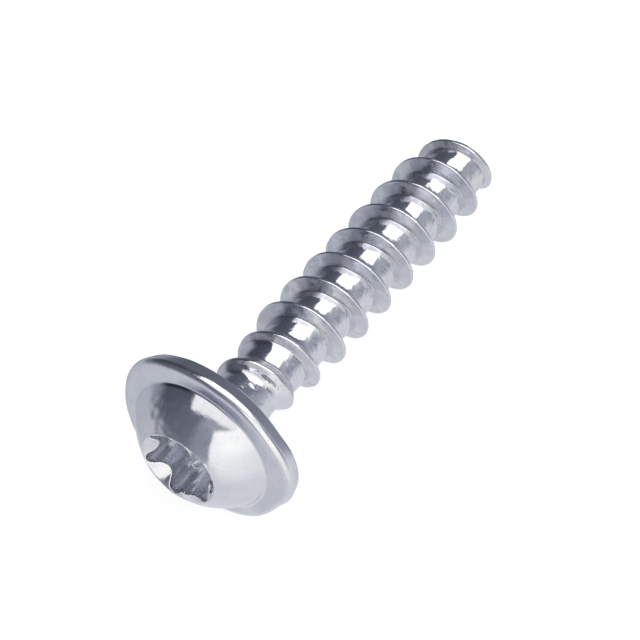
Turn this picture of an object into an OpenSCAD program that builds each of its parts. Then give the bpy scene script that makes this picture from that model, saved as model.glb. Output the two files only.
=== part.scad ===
// Thread-forming screw for plastics: domed head with a six-lobe recess, an integral
// round flange, a short plain neck and one coarse right-hand thread to a blunt tip.
// Millimetres. The screw is drawn upright around its own axis, with z = 0 at the
// bearing face under the flange and the tip upwards, and is then laid on its side on
// z = 0, resting on the flange's rim and on two crests near the tip.

/* [Thread] */
// Diameter over the full crests
thread_d = 5; // [4.8:0.05:5.2]
// Diameter of the core between the crests
core_d = 3.5; // [3.3:0.05:3.6]
// Distance from one crest to the next along the screw
pitch = 2.2; // [2.1:0.05:2.3]
// Width of the narrow flat on top of the crest
crest_w = 0.12; // [0.08:0.01:0.2]
// Reach of each steep flank, from the crest's edge to the core
flank_w = 0.24; // [0.18:0.01:0.4]
// Diameter over the first, lower turn of the thread
first_turn_d = 4.28; // [4:0.02:4.5]
// Diameter over the thread where it ends at the tip
end_turn_d = 4.1; // [3.9:0.02:4.3]

/* [Shank] */
// Length under the head
length = 24.1; // [20:0.1:28]
// Diameter of the plain neck under the flange
neck_d = 3.6; // [3.6:0.05:3.9]
// Length of the plain neck
neck_l = 1.6; // [1.4:0.05:1.7]
// Radius of the fillet between the neck and the bearing face
neck_fillet = 0.3; // [0.2:0.05:0.4]
// Diameter of the blunt end face
tip_d = 2.9; // [2.4:0.1:3.3]

/* [Head] */
// Diameter of the flange
flange_d = 10.8; // [10.2:0.1:11.4]
// Thickness of the flange at its half-round rim
flange_t = 1; // [0.9:0.05:1.1]
// Radius of the domed top
dome_r = 4.66; // [4.5:0.02:4.8]
// Height of the dome's centre above the bearing face, towards the tip
dome_z = 0.78; // [0.7:0.02:0.9]
// Radius of the fillet between the dome and the flange
dome_fillet = 0.46; // [0.3:0.02:0.5]

/* [Recess] */
// Width of the six-lobe recess across opposite lobes
recess_a = 4.5; // [4.3:0.05:4.6]
// Width of the recess across opposite ribs
recess_b = 3.26; // [3.15:0.02:3.3]
// Radius at the end of each lobe
lobe_r = 0.38; // [0.34:0.01:0.4]
// Diameter of the cone that leads into the recess and bevels its ribs
lead_d = 4.6; // [4.5:0.05:4.8]
// Slope of that cone below level, in degrees
lead_angle = 34; // [20:1:45]
// Depth of the recess walls below the top of the head
recess_depth = 2; // [1.6:0.1:2.2]
// Turn of the recess around the axis, in degrees
recess_turn = 6; // [0:1:59]

/* [Hidden] */
$fn = 96;

// ---- thread ------------------------------------------------------------------
steps = 36;                       // corners in one turn
low_z = 0.16;                     // a crest passes the underside here, and every pitch on
first_turn = 11 / 12;             // turn at which the thread starts to rise
function crest_z(t) = low_z + pitch * t;
start_z = crest_z(first_turn);
last_n = floor((length - 2.4 - low_z) / pitch);   // the last full crest on the underside
last_z = crest_z(last_n);
end_z = crest_z(last_n + 1);      // the lowered crest that also rests on the surface

// ---- lying position: half-round rim against the last full crest -------------------
rim_r = flange_t / 2;
rim_x = flange_d / 2 - rim_r;
lie_a = rim_x - thread_d / 2;
lie_b = last_z + crest_w / 2 + rim_r;
tilt = atan2(lie_a, lie_b) + asin(rim_r / norm([lie_a, lie_b]));
rest_h = rim_x * cos(tilt) - rim_r * sin(tilt) + rim_r;   // height of the bearing face's centre
// crest radius that just touches the surface
function floor_r(z) = (rest_h - (z + crest_w / 2) * sin(tilt)) / cos(tilt);

// radius over the crest where the crest is at height z
function crest_r(z) = lookup(z, [
    [start_z, core_d / 2],
    [start_z + 0.7, first_turn_d / 2],
    [start_z + 3, first_turn_d / 2],
    [start_z + 5, thread_d / 2],
    [end_z - 0.5, thread_d / 2],
    [end_z, floor_r(end_z)],
    [end_z + 0.7, floor_r(end_z)],
    [length, end_turn_d / 2],
    [length + 3, end_turn_d / 2]]);

// the core narrows over the last half millimetre
function core_r(z) = lookup(z, [
    [length - 0.5, core_d / 2],
    [length, tip_d / 2],
    [length + 4, tip_d / 2]]);

// section of one thread: distance along the screw from the crest, share of the height
section = [
    [-pitch / 2, 0],
    [-crest_w / 2 - flank_w, 0],
    [-crest_w / 2 - flank_w * 0.6, 0.3],
    [-crest_w / 2, 1],
    [crest_w / 2, 1],
    [crest_w / 2 + flank_w * 0.6, 0.3],
    [crest_w / 2 + flank_w, 0]];
cols = len(section);
turns = ceil((length + 1 - start_z) / pitch * 4) / 4;
rows = steps * turns;             // corners along the helix

function corner(i, j) =
    let (t = first_turn + i / steps,
         zc = crest_z(t),
         z = zc + section[j][0],
         c = core_r(z),
         r = c + max(0, crest_r(zc) - c) * section[j][1])
    [r * cos(360 * t), r * sin(360 * t), z];

foot_z = 0.5;                     // start of the swept core, inside the neck
top_z = crest_z(first_turn + turns) + pitch + 0.2;
body_n = (rows + 1) * cols;       // corners of the swept part
edge_n = steps;                   // closing line, one pitch above the last turn
// index of corner i, j; the last column of a turn is the first column of the next one
function at(i, j) =
    j < cols ? i * cols + j
    : i + steps <= rows ? (i + steps) * cols
    : body_n + i + steps - rows - 1;
function ring(r, z, t0) = [for (i = [0:steps - 1])
    [r * cos(360 * (t0 + i / steps)), r * sin(360 * (t0 + i / steps)), z]];
foot_0 = body_n + edge_n;
top_0 = foot_0 + steps;
end_t = first_turn + turns;

module threaded_core() {
    points = concat(
        [for (i = [0:rows], j = [0:cols - 1]) corner(i, j)],
        [for (i = [rows + 1:rows + steps])
            let (t = first_turn + i / steps, z = crest_z(t) - pitch / 2, c = core_r(z))
            [c * cos(360 * t), c * sin(360 * t), z]],
        ring(core_d / 2, foot_z, first_turn),
        ring(tip_d / 2, top_z, end_t));
    faces = concat(
        // swept sides
        [for (i = [0:rows - 1], j = [0:cols - 1]) [at(i, j), at(i, j + 1), at(i + 1, j)]],
        [for (i = [0:rows - 1], j = [0:cols - 1]) [at(i + 1, j), at(i, j + 1), at(i + 1, j + 1)]],
        // plain ramp below the first turn, and its upright seam
        [for (i = [0:steps - 2]) [foot_0 + i, at(i, 0), foot_0 + i + 1]],
        [for (i = [0:steps - 2]) [foot_0 + i + 1, at(i, 0), at(i + 1, 0)]],
        [[foot_0 + steps - 1, at(0, 0), foot_0]],
        [for (j = [0:cols - 1]) [foot_0 + steps - 1, at(0, j + 1), at(0, j)]],
        [[foot_0 + steps - 1, at(steps - 1, 0), at(steps, 0)]],
        // plain ramp above the last turn, and its upright seam
        [for (i = [1:steps - 1]) [at(rows - steps + i, cols), top_0 + i, at(rows - steps + i + 1, cols)]],
        [for (i = [1:steps - 1]) [at(rows - steps + i + 1, cols), top_0 + i, top_0 + (i + 1) % steps]],
        [for (j = [0:cols - 1]) [at(rows, j), at(rows, j + 1), top_0 + 1]],
        [[at(rows, cols), top_0, top_0 + 1]],
        [[at(rows - steps + 1, cols), at(rows, 0), top_0 + 1]],
        // flat ends
        [[for (i = [0:steps - 1]) foot_0 + i]],
        [[for (i = [steps - 1:-1:0]) top_0 + i]]);
    intersection() {
        polyhedron(points = points, faces = faces, convexity = 12);
        translate([-thread_d, -thread_d, 0]) cube([2 * thread_d, 2 * thread_d, length]);
    }
}

// ---- head ----------------------------------------------------------------------
function arc(c, r, a0, a1, n) = [for (i = [0:n])
    let (a = a0 + (a1 - a0) * i / n) [c[0] + r * cos(a), c[1] + r * sin(a)]];

// centre of the fillet between dome and flange, touching both
fil_z = -flange_t - dome_fillet;
fil_x = sqrt(pow(dome_r + dome_fillet, 2) - pow(fil_z - dome_z, 2));
fil_a = atan2(dome_z - fil_z, -fil_x);      // from the fillet's centre to the dome's
top_of_head = dome_z - sqrt(pow(dome_r, 2) - pow(lead_d / 2, 2));     // edge of the lead-in

module head_and_neck() {
    rotate_extrude() polygon(concat(
        [[0, neck_l], [neck_d / 2, neck_l]],
        arc([neck_d / 2 + neck_fillet, neck_fillet], neck_fillet, 180, 270, 6),
        arc([rim_x, -rim_r], rim_r, 90, -90, 16),
        arc([fil_x, fil_z], dome_fillet, 90, fil_a, 8),
        arc([0, dome_z], dome_r, fil_a - 180, -90, 12)));
}

// ---- six-lobe recess --------------------------------------------------------------
lobe_x = recess_a / 2 - lobe_r;
// radius of the ribs that run smoothly into the lobes
rib_r = (pow(lobe_r, 2) - pow(lobe_x, 2) - pow(recess_b / 2, 2) + recess_b * lobe_x * cos(30))
    / (2 * (recess_b / 2 - lobe_x * cos(30) - lobe_r));
rib_x = recess_b / 2 + rib_r;
// distance from the axis at which a lobe meets a rib
join = [lobe_x, 0] + ([rib_x * cos(30), rib_x * sin(30)] - [lobe_x, 0]) * lobe_r / (lobe_r + rib_r);

module six_lobes() {
    difference() {
        circle(r = norm(join));
        for (k = [0:5]) rotate(60 * k + 30) translate([rib_x, 0]) circle(r = rib_r);
    }
    for (k = [0:5]) rotate(60 * k) translate([lobe_x, 0]) circle(r = lobe_r);
}

module recess() {
    deep = top_of_head + recess_depth;      // where the walls end
    intersection() {
        rotate(recess_turn) translate([0, 0, -dome_r - 1])
            linear_extrude(height = deep + 1.5 + dome_r) six_lobes();
        // shallow cone left by the punch
        rotate_extrude() polygon([[0, -dome_r - 1], [recess_a, -dome_r - 1],
            [recess_a, deep - 0.5], [recess_a / 2, deep - 0.1], [0, deep + 0.45]]);
    }
    // lead-in cone
    reach = lead_d / 2 - recess_b / 2 + 0.25;
    rotate_extrude() polygon([[0, -dome_r - 1], [lead_d / 2, -dome_r - 1], [lead_d / 2, top_of_head],
        [lead_d / 2 - reach, top_of_head + reach * tan(lead_angle)],
        [0, top_of_head + reach * tan(lead_angle)]]);
}

// ---- the screw on its side -----------------------------------------------------------
// furthest reach of the lead-in's edge and of the tip along the surface
lip_x = lead_d / 2 * sin(tilt) - top_of_head * cos(tilt);
tip_x = length * cos(tilt) + tip_d / 2 * sin(tilt);
mid_x = (tip_x - lip_x) / 2;

module screw() {
    color([0.72, 0.73, 0.77])
    translate([-mid_x, 0, rest_h]) rotate([0, 90 + tilt, 0]) {
        difference() {
            union() {
                head_and_neck();
                threaded_core();
            }
            recess();
        }
    }
}

screw();
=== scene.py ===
import math

import bpy
import numpy as np
from mathutils import Matrix, Vector


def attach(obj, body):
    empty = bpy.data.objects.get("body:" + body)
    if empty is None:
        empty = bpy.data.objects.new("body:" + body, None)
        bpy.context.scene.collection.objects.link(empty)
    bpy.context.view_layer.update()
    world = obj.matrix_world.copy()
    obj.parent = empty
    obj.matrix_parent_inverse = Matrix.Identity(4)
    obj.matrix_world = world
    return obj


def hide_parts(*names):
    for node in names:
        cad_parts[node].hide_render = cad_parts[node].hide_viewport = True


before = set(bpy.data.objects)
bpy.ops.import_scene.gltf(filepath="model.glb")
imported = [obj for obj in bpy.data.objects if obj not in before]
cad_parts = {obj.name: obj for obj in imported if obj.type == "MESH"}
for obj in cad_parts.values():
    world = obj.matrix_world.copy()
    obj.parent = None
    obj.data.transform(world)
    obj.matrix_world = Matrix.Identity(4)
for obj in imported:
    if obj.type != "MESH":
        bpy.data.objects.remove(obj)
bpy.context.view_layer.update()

# =============================================================================
# The screw's form. Millimetres, along its own axis: z = 0 at the bearing face,
# tip towards +z, head below.
# =============================================================================
N = 180                     # columns around the axis
PITCH, LOW_Z = 2.2, 0.16
LENGTH, CORE, THREAD_R = 24.1, 1.75, 2.5
NECK_R, NECK_FILLET = 1.96, 0.3
RIM_R, RIM_X = 0.5, 4.9
DOME_R, DOME_Z, FILLET = 4.66, 0.78, 0.46
LOBE_X, LOBE_R, RIB_HALF = 1.87, 0.38, 1.63
RECESS_DEPTH, RECESS_TURN = 2.0, math.radians(6)
LEAD_R, LEAD_SLOPE = 2.3, math.tan(math.radians(38))

START_Z = LOW_Z + PITCH * 11 / 12
LAST_Z = LOW_Z + PITCH * 9
END_Z = LAST_Z + PITCH
CREST_W = 0.12

lie_a, lie_b = RIM_X - THREAD_R, LAST_Z + CREST_W / 2 + RIM_R
TILT = math.atan2(lie_a, lie_b) + math.asin(RIM_R / math.hypot(lie_a, lie_b))
REST_H = RIM_X * math.cos(TILT) - RIM_R * math.sin(TILT) + RIM_R


def floor_r(z):
    return (REST_H - (z + CREST_W / 2) * math.sin(TILT)) / math.cos(TILT)


# six-lobe outline: lobes and the ribs that run into them
RIB_R = (LOBE_R**2 - LOBE_X**2 - RIB_HALF**2 + 2 * RIB_HALF * LOBE_X * math.cos(math.radians(30))) / (
    2 * (RIB_HALF - LOBE_X * math.cos(math.radians(30)) - LOBE_R))
RIB_X = RIB_HALF + RIB_R
jx = LOBE_X + (RIB_X * math.cos(math.radians(30)) - LOBE_X) * LOBE_R / (LOBE_R + RIB_R)
jy = RIB_X * math.sin(math.radians(30)) * LOBE_R / (LOBE_R + RIB_R)
JOIN = math.atan2(jy, jx)


def lobe_outline(phi):
    """Distance of the recess wall from the axis, at angles counted from a lobe."""
    q = np.abs((phi + math.pi / 6) % (math.pi / 3) - math.pi / 6)
    on_lobe = LOBE_X * np.cos(q) + np.sqrt(np.maximum(LOBE_R**2 - (LOBE_X * np.sin(q)) ** 2, 0))
    g = math.pi / 6 - q
    on_rib = RIB_X * np.cos(g) - np.sqrt(np.maximum(RIB_R**2 - (RIB_X * np.sin(g)) ** 2, 0))
    return np.where(q <= JOIN, on_lobe, on_rib)


def even_outline():
    """Angles that divide the outline into N even steps."""
    fine = np.linspace(0, math.pi / 3, 4001)
    r = lobe_outline(fine)
    x, y = r * np.cos(fine), r * np.sin(fine)
    run = np.concatenate([[0], np.cumsum(np.hypot(np.diff(x), np.diff(y)))])
    one = np.interp(np.arange(N // 6) / (N // 6) * run[-1], run, fine)
    return np.concatenate([one + k * math.pi / 3 for k in range(6)])


phi = 2 * math.pi * np.arange(N) / N            # from a lobe, even in angle
phi_o = even_outline()                          # from a lobe, even along the outline
ang = phi + RECESS_TURN                         # in the screw's own frame


# ---- thread -------------------------------------------------------------------
# Section of the ridge: distance along the screw from the crest, and share of the height.
# Steep straight flanks; the root is tight on the head's side and hollow on the tip's.
SEC_A = np.array([-1.1, -.88, -.68, -.5, -.38, -.31, -.282, -.265, -.250, -.235, -.195, -.16, -.125, -.108, -.095, -.08,
                  -.06, -.03, 0, .02, .05, .09, .12, .14, .158, .19, .225, .26, .285, .32, .38, .46, .56, .68, .82, .95, 1.1])
SEC_H = np.array([0, 0, 0, 0, 0, .004, .014, .03, .058, .105, .279, .498, .716, .82, .89, .945,
                  .985, 1, 1, .998, .985, .96, .925, .875, .80, .62, .43, .25, .175, .135, .10, .066, .036, .013, .002, 0, 0])
STEPS_D = SEC_A[:-1]
J = len(STEPS_D)


def smooth(x, a, b):
    t = np.clip((x - a) / (b - a), 0, 1)
    return t * t * (3 - 2 * t)


END_R = floor_r(END_Z)


def crest_r(z):
    r = CORE + (2.14 - CORE) * smooth(z, START_Z + 0.1, START_Z + 1.1)
    r = r + (THREAD_R - 2.14) * smooth(z, START_Z + 2.7, START_Z + 5.2)
    r = r - (THREAD_R - END_R) * smooth(z, END_Z - 0.7, END_Z - 0.02)
    return r - (END_R - 2.04) * smooth(z, END_Z + 0.6, LENGTH)


def core_r(z):
    r = np.interp(z, [0, 0.5, 1.2, 3.0, 3.3, 3.9, 4.3], [NECK_R, NECK_R, NECK_R - 0.05, 1.65, 1.65, 1.73, CORE])
    return r - 0.30 * np.clip((z - (LENGTH - 0.5)) / 0.5, 0, 1)


def shank_r(a, z):
    """Distance of the shank's surface from the axis at angle a and height z."""
    t = (z - LOW_Z) / PITCH - a / (2 * math.pi)
    zc = LOW_Z + PITCH * (np.round(t) + a / (2 * math.pi))
    h = np.interp(z - zc, SEC_A, SEC_H)
    first = 1 - smooth(zc, 3.9, 6.2)              # the first turn is lower and rounder
    h = h * (1 - first) + first * np.maximum(1.2 - np.sqrt(((z - zc) / 0.5) ** 2 + 0.04), 0)
    c = core_r(z)
    r = c + np.maximum(crest_r(zc) - c, 0) * h
    rnd = 0.34                                   # rounded edge of the tip
    e = np.clip(z - (LENGTH - rnd), 0, rnd)
    r = r - (rnd - np.sqrt(rnd**2 - e**2)) * 0.8
    side = 1 - np.cos((a + math.pi) % (2 * math.pi) - math.pi)      # 0 underneath, 2 on top
    return r + 0.012 * side * h * smooth(z, 2, 6) * (1 + 1.3 * smooth(z, 15, 18)) * (1 - smooth(z, 22.5, 23.5))


# ---- mesh ----------------------------------------------------------------------
verts, faces = [], []


def ring(r, a, z):
    """One closed row of N corners, at radius r, angle a and height z."""
    first = len(verts)
    r, a, z = (np.broadcast_to(np.asarray(q, float), (N,)) for q in (r, a, z))
    verts.extend(zip(r * np.cos(a), r * np.sin(a), z))
    return list(range(first, first + N))


def ring_xy(x, y, z):
    first = len(verts)
    z = np.broadcast_to(np.asarray(z, float), (N,))
    verts.extend(zip(x, y, z))
    return list(range(first, first + N))


def join(a, b):
    for i in range(N):
        j = (i + 1) % N
        faces.append((a[i], a[j], b[j], b[i]))


def cap(row, z, flip):
    verts.append((0.0, 0.0, z))
    c = len(verts) - 1
    for i in range(N):
        j = (i + 1) % N
        faces.append((row[j], row[i], c) if not flip else (row[i], row[j], c))


def dome_at(r):
    return DOME_Z - np.sqrt(DOME_R**2 - r**2)


# outline of the recess, and its normal pointing into the metal
ro = lobe_outline(phi_o)
ox, oy = ro * np.cos(phi_o + RECESS_TURN), ro * np.sin(phi_o + RECESS_TURN)
tx, ty = np.roll(ox, -1) - np.roll(ox, 1), np.roll(oy, -1) - np.roll(oy, 1)
tl = np.hypot(tx, ty)
nx, ny = ty / tl, -tx / tl

top_of_head = float(dome_at(LEAD_R))
deep = top_of_head + RECESS_DEPTH
DRAFT = 0.05
EDGE = 0.05


def off(k):
    return ox + nx * k, oy + ny * k


def floor_z(x, y):
    return deep + 0.42 - 0.2444 * (np.sqrt(x**2 + y**2 + 0.09) - 0.3)


rows = []
bx, by = off(-DRAFT)
for s in (0.1, 0.2, 0.3, 0.4, 0.55, 0.68, 0.82, 0.9):
    rows.append(ring_xy(bx * s, by * s, floor_z(bx * s, by * s)))
cap(rows[0], float(deep + 0.42), False)
# corner between the recess's bottom and its walls
c0 = (bx * 0.94, by * 0.94)
z0, zc_, z1 = floor_z(*c0), floor_z(bx, by), floor_z(bx, by) - 0.12
for t in (0, 0.25, 0.5, 0.75, 1):
    w0, w1, w2 = (1 - t) ** 2, 2 * t * (1 - t), t * t
    rows.append(ring_xy(w0 * c0[0] + (w1 + w2) * bx, w0 * c0[1] + (w1 + w2) * by, w0 * z0 + w1 * zc_ + w2 * z1))
# walls, up to the lead-in cone


def lead_z(r):
    s = LEAD_R - r
    return top_of_head + even * (s * LEAD_SLOPE + 0.3 * np.maximum(s, 0) ** 2)


# the bevel is shallow at the lower right, and its edge is slightly ragged
va0 = (math.radians(201.2) - phi_o - RECESS_TURN + math.pi) % (2 * math.pi) - math.pi
even = 1 - 1.25 * np.exp(-((va0 + math.radians(135)) / math.radians(34)) ** 2)
jag = sum(np.sin(k * va0 + q) for k, q in ((11, .3), (17, 2.1), (23, 4.0), (31, 1.2), (41, 5.1))) / 5
jag = 0.06 * np.clip(jag, -0.75, 0.75) * smooth(va0, math.radians(-80), math.radians(-50)) * (
    1 - smooth(va0, math.radians(120), math.radians(150)))
lip_z = lead_z(ro)
for t in np.linspace(0, 1, 9)[1:-1]:
    x, y = off(-DRAFT * (1 - t))
    rows.append(ring_xy(x, y, z1 + (lip_z + EDGE - z1) * t))
# rounded edge between the wall and the cone
px, py = off(EDGE)
pr = np.minimum(np.hypot(px, py), LEAD_R - 0.004)
pa = np.arctan2(py, px)
px, py = pr * np.cos(pa), pr * np.sin(pa)
for t in np.linspace(0, 1, 5):
    w0, w1, w2 = (1 - t) ** 2, 2 * t * (1 - t), t * t
    rows.append(ring_xy((w0 + w1) * ox + w2 * px, (w0 + w1) * oy + w2 * py,
                        w0 * (lip_z + EDGE) + w1 * lip_z + w2 * lead_z(pr)))
# the cone, slightly hollow, and its edge on the dome
for t in (0.15, 0.3, 0.45, 0.6, 0.75, 0.9):
    r = pr + (LEAD_R - pr) * t
    rows.append(ring(r, pa, lead_z(r)))
for r, dz in ((LEAD_R, 0.004), (LEAD_R + 0.012, 0.001)):
    rows.append(ring(r + jag, pa, dome_at(r + jag) + dz - 0.5 * np.maximum(jag, 0)))
rows.append(ring(LEAD_R + 0.06, pa, dome_at(LEAD_R + 0.06)))
ex, ey = (LEAD_R + 0.06) * np.cos(pa), (LEAD_R + 0.06) * np.sin(pa)

# ---- flange: the profile of each column is a mix of two -----------------------------
def arc(cr, cz, r, a0, a1, n):
    a = np.radians(np.linspace(a0, a1, n))
    return np.stack([cr + r * np.cos(a), cz + r * np.sin(a)], 1)


def line(p, q, n):
    t = np.linspace(0, 1, n + 2)[1:-1, None]
    return np.array(p) * (1 - t) + np.array(q) * t


def fillet(top, r):
    """Fillet between the dome and a flange whose upper side is at height top."""
    cz = top - r
    cr = math.sqrt((DOME_R + r) ** 2 - (cz - DOME_Z) ** 2)
    return arc(cr, cz, r, math.degrees(math.atan2(DOME_Z - cz, -cr)), 90, 10)


# thick, with a tapering side: most of the rim
f = fillet(-1.3, 0.2)
c = math.cos(math.radians(20)), math.sin(math.radians(20))
e0 = (4.864 + 0.34 * c[0], -0.96 + 0.34 * c[1])
e1 = (e0[0] - 0.6 * c[1], e0[1] + 0.6 * c[0])
c2 = (e1[0] - 0.3 * c[0], e1[1] - 0.3 * c[1])
thick = np.concatenate([f, line(f[-1], (4.864, -1.3), 3), arc(4.864, -0.96, 0.34, -90, 20, 15),
                        line(e0, e1, 3), arc(*c2, 0.3, 20, 90, 9)])
# half-round: where it lies on the surface
f = fillet(-1.0, FILLET)
round_ = np.concatenate([f, line(f[-1], (RIM_X, -1.0), 3), arc(RIM_X, -RIM_R, RIM_R, -90, -8, 15),
                         arc(RIM_X, -RIM_R, RIM_R, -4, 4, 3), arc(RIM_X, -RIM_R, RIM_R, 8, 90, 9)])
view = (math.radians(201.2) - ang + math.pi) % (2 * math.pi) - math.pi      # 0 on the near side
low = (ang + math.pi) % (2 * math.pi) - math.pi                             # 0 at the bottom
mix = smooth(np.abs(low), math.radians(22), math.radians(60))
OUT_A = np.radians([-180, -135, -120, -105, -94, -86, -80, -74, -68, -60, -50, -42, -34, -25, -10, 15, 30, 45, 60, 68, 80,
                    92, 108, 125, 142, 158, 180])
OUT_D = np.array([0, -.06, -.12, -.10, -.10, -.02, .14, .34, .45, .50, .47, .38, .26, .16, .1, .02, .06, .15, .29, .31, .23,
                  .08, -.10, -.22, -.26, -.18, 0])
out = np.interp(view, OUT_A, OUT_D)
for _ in range(2):
    out = (np.roll(out, 1) + 2 * out + np.roll(out, -1)) / 4
prof = thick[:, None, :] * mix[None, :, None] + round_[:, None, :] * (1 - mix)[None, :, None]
prof[..., 0] += out[None] * mix[None] * np.clip((prof[..., 0] - 4.3) / 0.9, 0, 1)
# the side tapers less at the lower right
full = smooth(-view, math.radians(28), math.radians(45)) * (1 - smooth(-view, math.radians(78), math.radians(95)))
prof[..., 0] += 0.17 * (full * mix)[None] * np.clip((prof[..., 1] + 0.9) / 0.6, 0, 1) * np.clip((prof[..., 0] - 4.3) / 0.5, 0, 1)
# dome, out to the fillet
end_r = prof[0, :, 0]
cx, cy = end_r * np.cos(ang), end_r * np.sin(ang)
for t in np.linspace(0, 1, 33)[1:-1]:
    x, y = ex + (cx - ex) * t, ey + (cy - ey) * t
    rows.append(ring_xy(x, y, dome_at(np.hypot(x, y))))
for k in range(len(prof)):
    rows.append(ring(prof[k, :, 0], ang, prof[k, :, 1]))
# bearing face and the fillet into the neck
for t in np.linspace(0, 1, 10)[1:-1]:
    rows.append(ring(prof[-1, :, 0] * (1 - t) + (NECK_R + NECK_FILLET) * t, ang, prof[-1, :, 1] * (1 - t) ** 3))
for a in np.linspace(-math.pi / 2, -math.pi, 9):
    rows.append(ring(NECK_R + NECK_FILLET + NECK_FILLET * math.cos(a), ang, NECK_FILLET + NECK_FILLET * math.sin(a)))
Z_B, Z_T = 1.5, LENGTH - 0.36
for z in np.linspace(NECK_FILLET, Z_B, 10)[1:]:
    rows.append(ring(core_r(z), ang, z))
for a, b in zip(rows, rows[1:]):
    join(a, b)

# thread: each column is sampled where the section turns, so that the crest is one clean line
TURNS = 12
M = TURNS * J
low, high = rows[-1], ring(shank_r(ang, Z_T), ang, Z_T)
index = np.empty((N, M), int)
for n in range(TURNS):
    for j in range(J):
        z = LOW_Z + PITCH * (n + ang / (2 * math.pi)) + STEPS_D[j]
        r = shank_r(ang, z)
        m = n * J + j
        for i in range(N):
            if z[i] < Z_B + 0.012:
                index[i, m] = low[i]
            elif z[i] > Z_T - 0.012:
                index[i, m] = high[i]
            else:
                index[i, m] = len(verts)
                verts.append((r[i] * math.cos(ang[i]), r[i] * math.sin(ang[i]), z[i]))


def at(i, m):
    if i == N:
        i, m = 0, m + J
    return index[i, m] if m < M else high[i]


for i in range(N):
    for m in range(M - 1):
        q = [at(i, m), at(i + 1, m), at(i + 1, m + 1), at(i, m + 1)]
        u = [q[k] for k in range(4) if q[k] != q[k - 1]]
        if len(u) > 2:
            faces.append(tuple(u))
# the tip
prev = high
for z in [LENGTH - 0.34] + [LENGTH - 0.34 + 0.34 * math.sin(q) for q in np.linspace(0, math.pi / 2, 10)[1:]]:
    row = ring(shank_r(ang, z), ang, z)
    join(prev, row)
    prev = row
r_end = shank_r(ang, LENGTH)
for s, dz in ((0.93, 0.0), (0.8, 0.015), (0.6, 0.05), (0.4, 0.075), (0.25, 0.086), (0.12, 0.0898)):
    row = ring(r_end * s, ang, LENGTH - dz)
    join(prev, row)
    prev = row
cap(prev, LENGTH - 0.09, True)

co = np.array(verts, float)
used = np.zeros(len(co), bool)
for f in faces:
    used[list(f)] = True
renum = np.cumsum(used) - 1
co = co[used]
faces = [tuple(int(renum[k]) for k in f) for f in faces]

# lay it on its side, as it rests
ct, st = math.cos(TILT), math.sin(TILT)
to_world = np.array([[-st, 0, ct], [0, 1, 0], [-ct, 0, -st]])
tip_x = LENGTH * ct + 1.45 * st
lip_x = LEAD_R * st - top_of_head * ct
shift = np.array([-(tip_x - lip_x) / 2, 0, REST_H])
world = (co @ to_world.T + shift) * 0.001

mesh = bpy.data.meshes.new("screw_skin")
mesh.from_pydata([tuple(p) for p in world], [], faces)
mesh.update()
mesh.validate()

# slight unevenness of the formed and plated surface
rng = np.random.RandomState(5)


def waves(p, length, count):
    """Smooth noise of about unit size: plane waves of roughly that length, in mm."""
    d = rng.normal(size=(count, 3))
    d /= np.linalg.norm(d, axis=1)[:, None]
    k = d * (2 * math.pi / length) * rng.uniform(0.7, 1.4, (count, 1))
    ph = rng.uniform(0, 2 * math.pi, count)
    return np.sin(p @ k.T + ph).sum(1) * math.sqrt(2 / count)


nv = len(mesh.vertices)
normal = np.empty(nv * 3)
mesh.vertices.foreach_get("normal", normal)
normal = normal.reshape(-1, 3)
head_side = 1 - smooth(co[:, 2], 0.2, 1.2)
va = (math.radians(201.2) - np.arctan2(co[:, 1], co[:, 0]) + math.pi) % (2 * math.pi) - math.pi
vr = np.hypot(co[:, 0], co[:, 1])
rough_patch = np.exp(-((va - math.radians(62)) / math.radians(40)) ** 2) * smooth(vr, 1.9, 2.6) * (
    1 - smooth(vr, 3.5, 4.1)) * (co[:, 2] < -1.2)
lift = 0.005 * waves(co, 3.2, 14) + 0.0035 * waves(co, 1.4, 20) + 0.008 * rough_patch * waves(co, 0.66, 40)
lift += (1 - head_side) * 0.0035 * waves(co, 0.8, 30)
lift *= smooth(vr, 0.05, 0.5)
world = world + normal * (lift * 0.001)[:, None]
mesh.vertices.foreach_set("co", world.ravel())

# where the finish is duller, where it has small dents, and where shade is painted into the creases
t = (co[:, 2] - LOW_Z) / PITCH - np.arctan2(co[:, 1], co[:, 0]) / (2 * math.pi)
share = np.interp((t - np.round(t)) * PITCH, SEC_A, SEC_H)
ridge = (crest_r(co[:, 2]) > CORE + 0.15) & (co[:, 2] > START_Z)
flank = smooth(share, 0.02, 0.15) * (1 - smooth(share, 0.86, 0.95)) * ridge
inside_recess = (vr < LEAD_R - 0.03) & (co[:, 2] < 0) & (co[:, 2] > top_of_head + (LEAD_R - vr) * LEAD_SLOPE + 0.1)
# painted shade in the crease at the foot of the dome
foot = np.exp(-((vr - 4.15) / 0.055) ** 4) * (co[:, 2] < -1.2)
foot *= smooth(va, math.radians(27), math.radians(37)) * (1 - smooth(va, math.radians(54), math.radians(64)))
# and painted shade in the root of the thread
gone = (t - np.round(t)) * PITCH
root = np.exp(-((gone + 0.262) / 0.035) ** 2) * ridge * smooth(co[:, 2], 4.5, 6.5) * (0.3 + 0.5 * np.exp(-((va - 0.1) / 0.5) ** 2))
# painted shade: how much the creases are darkened, handed to the material
crease_shade = mesh.attributes.new("crease_shade", "FLOAT", "POINT")
crease_shade.data.foreach_set("value", np.maximum(foot, root).astype(np.float32))
calm = mesh.attributes.new("calm", "FLOAT", "POINT")
calm.data.foreach_set("value", (0.8 * flank).astype(np.float32))
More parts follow.
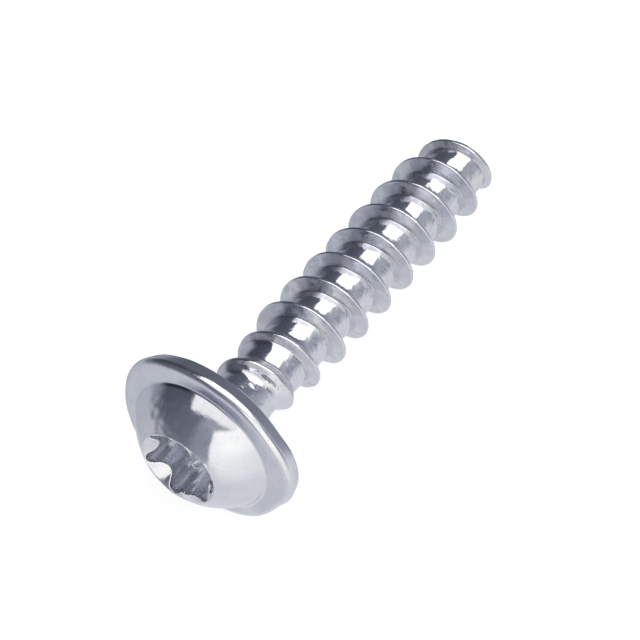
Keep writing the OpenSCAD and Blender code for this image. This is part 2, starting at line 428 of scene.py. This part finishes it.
# painted shade: where the shank is darkened, handed to the material
shank_shade = mesh.attributes.new("shank_shade", "FLOAT", "POINT")
shank_shade.data.foreach_set("value", (1 - head_side).astype(np.float32))
satin = mesh.attributes.new("satin", "FLOAT", "POINT")
satin.data.foreach_set("value", np.clip(flank * 0.8 + inside_recess * 0.5, 0, 1).astype(np.float32))
dented = mesh.attributes.new("dented", "FLOAT", "POINT")
near_side = 0.4 + 1.5 * np.exp(-((va + math.radians(36)) / math.radians(20)) ** 2)
dents_here = 0.07 * head_side + 0.6 * rough_patch + (1 - head_side) * (1 - 0.95 * flank) * near_side + 0.6 * inside_recess
dented.data.foreach_set("value", (np.clip(dents_here, 0, 2) * smooth(vr, 0.1, 0.5)).astype(np.float32))
mesh.update()
mesh.shade_smooth()
print("triangles", sum(len(q.vertices) - 2 for q in mesh.polygons))
screw = bpy.data.objects.new("screw_skin", mesh)
bpy.context.scene.collection.objects.link(screw)

# =============================================================================
# Material
# =============================================================================
METAL = (0.80, 0.81, 0.86)
zinc = bpy.data.materials.new("zinc")
zinc.use_nodes = True
nt = zinc.node_tree
bsdf = nt.nodes["Principled BSDF"]
bsdf.inputs["Metallic"].default_value = 1.0


def znode(kind, *ins, **props):
    n = nt.nodes.new(kind)
    for k, v in props.items():
        setattr(n, k, v)
    for k, v in enumerate(ins):
        if isinstance(v, bpy.types.NodeSocket):
            nt.links.new(v, n.inputs[k])
        elif v is not None:
            n.inputs[k].default_value = v
    return n


def noise(vector, scale, detail, rough=0.5, distortion=0.0):
    n = znode("ShaderNodeTexNoise")
    nt.links.new(vector, n.inputs["Vector"])
    n.inputs["Scale"].default_value = scale
    n.inputs["Detail"].default_value = detail
    n.inputs["Roughness"].default_value = rough
    n.inputs["Distortion"].default_value = distortion
    return n.outputs["Fac"]


def spread(x, a, b, c, d):
    return znode("ShaderNodeMapRange", x, a, b, c, d, clamp=True).outputs[0]


spot = znode("ShaderNodeTexCoord").outputs["Object"]
# forming lines run along the screw
lay = znode("ShaderNodeMapping", spot)
lay.inputs["Rotation"].default_value = (0, TILT, 0)
lay.inputs["Scale"].default_value = (0.09, 1, 1)
cloud = noise(spot, 700, 4, 0.55)               # patches of over a millimetre in the plating
grain = noise(spot, 5200, 3, 0.6)               # fine grain
fine = noise(spot, 16000, 2)
lines = noise(lay.outputs[0], 4200, 3, 0.6, 0.4)
# colour: bluish zinc, with slightly greyer and warmer patches
tint = znode("ShaderNodeMix", data_type="RGBA")
nt.links.new(spread(cloud, 0.36, 0.64, 0.0, 1.0), tint.inputs["Factor"])
ends = [q for q in tint.inputs if q.type == "RGBA"]
ends[0].default_value = (0.76, 0.775, 0.835, 1)
ends[1].default_value = (0.835, 0.84, 0.875, 1)
grime = znode("ShaderNodeMix", data_type="RGBA", blend_type="MULTIPLY")
nt.links.new(spread(grain, 0.60, 0.78, 0.0, 0.55), grime.inputs["Factor"])
ends = [q for q in grime.inputs if q.type == "RGBA"]
nt.links.new([q for q in tint.outputs if q.type == "RGBA"][0], ends[0])
ends[1].default_value = (0.66, 0.66, 0.68, 1)
# painted shade: the thread is a little darker than the head, standing in for the shade between its turns
shade = znode("ShaderNodeMix", data_type="RGBA", blend_type="MULTIPLY")
nt.links.new(spread(znode("ShaderNodeAttribute", attribute_name="shank_shade").outputs["Fac"], 0.0, 1.0, 0.0, 1.0),
             shade.inputs["Factor"])
ends = [q for q in shade.inputs if q.type == "RGBA"]
nt.links.new([q for q in grime.outputs if q.type == "RGBA"][0], ends[0])
ends[1].default_value = (0.95, 0.95, 0.955, 1)
# painted shade: the creases at the dome's foot and in the thread's root are darkened almost to black
crease_shade_mix = znode("ShaderNodeMix", data_type="RGBA", blend_type="MULTIPLY")
nt.links.new(spread(znode("ShaderNodeAttribute", attribute_name="crease_shade").outputs["Fac"], 0.0, 1.0, 0.0, 0.9),
             crease_shade_mix.inputs["Factor"])
ends = [q for q in crease_shade_mix.inputs if q.type == "RGBA"]
nt.links.new([q for q in shade.outputs if q.type == "RGBA"][0], ends[0])
ends[1].default_value = (0.12, 0.12, 0.14, 1)
nt.links.new([q for q in crease_shade_mix.outputs if q.type == "RGBA"][0], bsdf.inputs["Base Color"])
# gloss
r1 = spread(cloud, 0.3, 0.7, 0.05, 0.13)
r2 = spread(lines, 0.45, 0.75, 0.0, 0.09)
dull = znode("ShaderNodeAttribute", attribute_name="satin").outputs["Fac"]
dents = znode("ShaderNodeAttribute", attribute_name="dented").outputs["Fac"]
gloss = znode("ShaderNodeMath", r1, r2, operation="ADD").outputs[0]
patches = noise(spot, 1500, 2.5, 0.6, 0.5)
gloss = znode("ShaderNodeMath", dull, spread(patches, 0.42, 0.58, 0.14, 0.44), gloss, operation="MULTIPLY_ADD").outputs[0]
nt.links.new(gloss, bsdf.inputs["Roughness"])
# relief: grain, forming lines and small dents
relief = znode("ShaderNodeMath", grain, spread(lines, 0.3, 0.7, 0.0, 0.5), operation="ADD").outputs[0]
relief = znode("ShaderNodeMath", relief, spread(fine, 0.3, 0.7, 0.0, 0.12), operation="ADD").outputs[0]
pits = znode("ShaderNodeMath", noise(spot, 2300, 1.5, 0.5, 0.6), dents, operation="MULTIPLY").outputs[0]
relief = znode("ShaderNodeMath", pits, 12.0, relief, operation="MULTIPLY_ADD").outputs[0]
bump = znode("ShaderNodeBump")
nt.links.new(spread(znode("ShaderNodeAttribute", attribute_name="calm").outputs["Fac"], 0.0, 1.0, 0.5, 0.06),
             bump.inputs["Strength"])
bump.inputs["Distance"].default_value = 0.0000045
nt.links.new(relief, bump.inputs["Height"])
nt.links.new(bump.outputs[0], bsdf.inputs["Normal"])
mesh.materials.append(zinc)

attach(screw, "root")
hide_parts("screw")

# =============================================================================
# Floor, light and camera
# =============================================================================
floor_mesh = bpy.data.meshes.new("floor")
floor_mesh.from_pydata([(-1, -1, 0), (1, -1, 0), (1, 1, 0), (-1, 1, 0)], [], [(0, 1, 2, 3)])
floor = bpy.data.objects.new("floor", floor_mesh)
bpy.context.scene.collection.objects.link(floor)
paper = bpy.data.materials.new("paper")
paper.use_nodes = True
pb = paper.node_tree.nodes["Principled BSDF"]
pb.inputs["Base Color"].default_value = (0.4, 0.4, 0.4, 1)
pb.inputs["Roughness"].default_value = 0.9
pb.inputs["Emission Color"].default_value = (1, 1, 1, 1)
pb.inputs["Emission Strength"].default_value = 0.80
floor_mesh.materials.append(paper)
floor.visible_glossy = False

w = bpy.data.worlds.new("studio")
bpy.context.scene.world = w
w.use_nodes = True
wt = w.node_tree
wt.nodes.clear()
direction = wt.nodes.new("ShaderNodeTexCoord").outputs["Generated"]


def wnode(kind, *ins, **props):
    n = wt.nodes.new(kind)
    for k, v in props.items():
        setattr(n, k, v)
    for k, v in enumerate(ins):
        if isinstance(v, bpy.types.NodeSocket):
            wt.links.new(v, n.inputs[k])
        elif v is not None:
            n.inputs[k].default_value = v
    return n


def calc(op, *ins):
    return wnode("ShaderNodeMath", *ins, operation=op).outputs[0]


def along(v):
    return wnode("ShaderNodeVectorMath", direction, tuple(v), operation="DOT_PRODUCT").outputs["Value"]


def rise(x, a, b):
    """0 where x is below a, 1 where it is above b, smooth between."""
    return wnode("ShaderNodeMapRange", x, float(a), float(b), 0.0, 1.0, interpolation_type="SMOOTHSTEP").outputs[0]


def window(x, a, b, soft):
    return calc("MULTIPLY", rise(x, a - soft, a + soft), calc("SUBTRACT", 1.0, rise(x, b - soft, b + soft)))


def compass(az, el):
    a, e = math.radians(az), math.radians(el)
    return Vector((math.cos(e) * math.cos(a), math.cos(e) * math.sin(a), math.sin(e)))


def blend(mask, a, b):
    """a where mask is 0, b where it is 1; colours."""
    n = wnode("ShaderNodeMix", data_type="RGBA")
    wt.links.new(mask, n.inputs["Factor"]) if isinstance(mask, bpy.types.NodeSocket) else setattr(
        n.inputs["Factor"], "default_value", mask)
    for name, v in (("A", a), ("B", b)):
        sock = [q for q in n.inputs if q.name == name and q.type == "RGBA"][0]
        if isinstance(v, bpy.types.NodeSocket):
            wt.links.new(v, sock)
        else:
            sock.default_value = (*v, 1)
    return [q for q in n.outputs if q.type == "RGBA"][0]


def panel(az, el, half_w, half_h, soft):
    """Mask of a rectangular light panel seen in that direction; sizes are tangents of half-angles."""
    c = compass(az, el)
    side = Vector((0, 0, 1)).cross(c).normalized()
    top = c.cross(side)
    front = calc("MAXIMUM", along(c), 0.001)
    p = calc("ABSOLUTE", calc("DIVIDE", along(side), front))
    q = calc("ABSOLUTE", calc("DIVIDE", along(top), front))
    inside = calc("MULTIPLY", calc("SUBTRACT", 1.0, rise(p, half_w - soft, half_w + soft)),
                  calc("SUBTRACT", 1.0, rise(q, half_h - soft, half_h + soft)))
    return calc("MULTIPLY", inside, rise(along(c), 0.0, 0.02))


def tone(level):
    """Radiance that the metal shows at about that grey level of 255, mid-tones a little blue."""
    x = level / 255
    d = 12 * 4 * x * (1 - x)
    out = []
    for v, m in zip((level - 0.65 * d, level - 0.3 * d, level + 0.95 * d), METAL):
        v = max(v, 0) / 255
        out.append((v / 12.92 if v <= 0.04045 else ((v + 0.055) / 1.055) ** 2.4) / m)
    return out


def round_the_room(x, stops):
    """Tones around the room, at azimuths in degrees."""
    n = wt.nodes.new("ShaderNodeValToRGB")
    wt.links.new(x, n.inputs[0])
    r = n.color_ramp
    while len(r.elements) < len(stops):
        r.elements.new(0.5)
    for e, (az, level) in zip(r.elements, stops):
        e.position = (az + 180) / 360
        e.color = (*tone(level), 1)
    return n.outputs[0]


sep = wnode("ShaderNodeSeparateXYZ", direction)
dx, dy, dz = sep.outputs
turn = wnode("ShaderNodeMapRange", calc("ARCTAN2", dy, dx), -math.pi, math.pi, 0.0, 1.0).outputs[0]
# walls: a large soft panel on the left behind the camera, a small one beside it, dark on the far side
upper = round_the_room(turn, [(-180, 140), (-164, 140), (-162, 240), (-110, 230), (-70, 130), (-45, 170), (-15, 120),
                              (70, 60), (165, 110), (180, 140)])
# light floor around the screw, greyer on the far side
lower = round_the_room(turn, [(-180, 200), (-50, 210), (30, 135), (75, 170), (180, 195)])
# more light at eye level on the panel, and a dark gap above it
glow = calc("MULTIPLY", wnode("ShaderNodeMapRange", turn, 0.05, 0.09, 0.0, 1.0).outputs[0],
            calc("SUBTRACT", 1.0, rise(turn, 0.17, 0.30)))
upper = blend(calc("MULTIPLY", glow, calc("MULTIPLY", rise(dz, 0.05, 0.45), 0.9)), upper, tone(250))
lower = blend(calc("MULTIPLY", glow, rise(dz, -0.75, -0.2)), lower, tone(225))
# the walls meet the floor lower down on the near side
near = calc("MULTIPLY", rise(turn, 0.37, 0.42), calc("SUBTRACT", 1.0, rise(turn, 0.59, 0.65)))
wall = rise(dz, -0.40, 0.24)
wall = calc("ADD", wall, calc("MULTIPLY", near, calc("SUBTRACT", rise(dz, -0.52, -0.28), wall)))
room = blend(wall, lower, upper)
gap = calc("MULTIPLY", rise(dz, 0.66, 0.74), calc("SUBTRACT", 1.0, rise(turn, 0.10, 0.22)))
room = blend(gap, room, tone(150))
side = calc("MULTIPLY", calc("MULTIPLY", rise(turn, 0.19, 0.25), calc("SUBTRACT", 1.0, rise(turn, 0.36, 0.41))), rise(dz, 0.46, 0.66))
room = blend(side, room, tone(230))
room = blend(calc("SUBTRACT", 1.0, rise(dz, -0.90, -0.76)), room, tone(205))
# ceiling panel, with slanted edges
flat = calc("MAXIMUM", dz, 0.02)
cx_, cy_ = calc("DIVIDE", dx, flat), calc("DIVIDE", dy, flat)
inside = calc("MULTIPLY", rise(cx_, -0.70, -0.60),
              calc("SUBTRACT", 1.0, rise(calc("MULTIPLY_ADD", cy_, 0.2, cx_), 1.22, 1.30)))
inside = calc("MULTIPLY", inside, rise(cy_, -0.86, -0.76))
inside = calc("MULTIPLY", inside, calc("SUBTRACT", 1.0, rise(calc("MULTIPLY_ADD", cx_, 0.13, cy_), 0.44, 0.56)))
inside = calc("MULTIPLY", inside, rise(dz, 0.3, 0.35))
room = blend(inside, room, blend(rise(cx_, -0.5, 0.4), tone(235), (1.9, 1.9, 1.9)))
studio = wnode("ShaderNodeBackground", room, 1.0)
plain = wnode("ShaderNodeBackground", (0.95, 0.95, 0.95, 1), 1.0)
seen = wnode("ShaderNodeLightPath").outputs["Is Camera Ray"]
pick = wnode("ShaderNodeMixShader", seen)
wt.links.new(studio.outputs[0], pick.inputs[1])
wt.links.new(plain.outputs[0], pick.inputs[2])
wt.links.new(pick.outputs[0], wt.nodes.new("ShaderNodeOutputWorld").inputs[0])

# camera: azimuth and elevation of the direction from the screw to the camera
ALPHA, ELEV = math.radians(-144.977), math.radians(58.079)
SCALE, DIST = 19.1347, 141.87           # pixels for a millimetre, and millimetres, at the bearing face
LENS = 36 * SCALE * DIST / 640
right = np.array([-math.sin(ALPHA), math.cos(ALPHA), 0])
up = np.array([-math.sin(ELEV) * math.cos(ALPHA), -math.sin(ELEV) * math.sin(ALPHA), math.cos(ELEV)])
back = np.array([math.cos(ELEV) * math.cos(ALPHA), math.cos(ELEV) * math.sin(ALPHA), math.sin(ELEV)])
eye = (shift - right * -5.4765 - up * -5.6980 + back * DIST) * 0.001
cam_data = bpy.data.cameras.new("camera")
cam_data.lens, cam_data.sensor_width = LENS, 36
cam_data.clip_start, cam_data.clip_end = 0.01, 10
cam = bpy.data.objects.new("camera", cam_data)
bpy.context.scene.collection.objects.link(cam)
cam.matrix_world = Matrix([[right[k], up[k], back[k], eye[k]] for k in range(3)] + [[0, 0, 0, 1]])
bpy.context.scene.camera = cam
bpy.context.scene.view_settings.view_transform = "Standard"
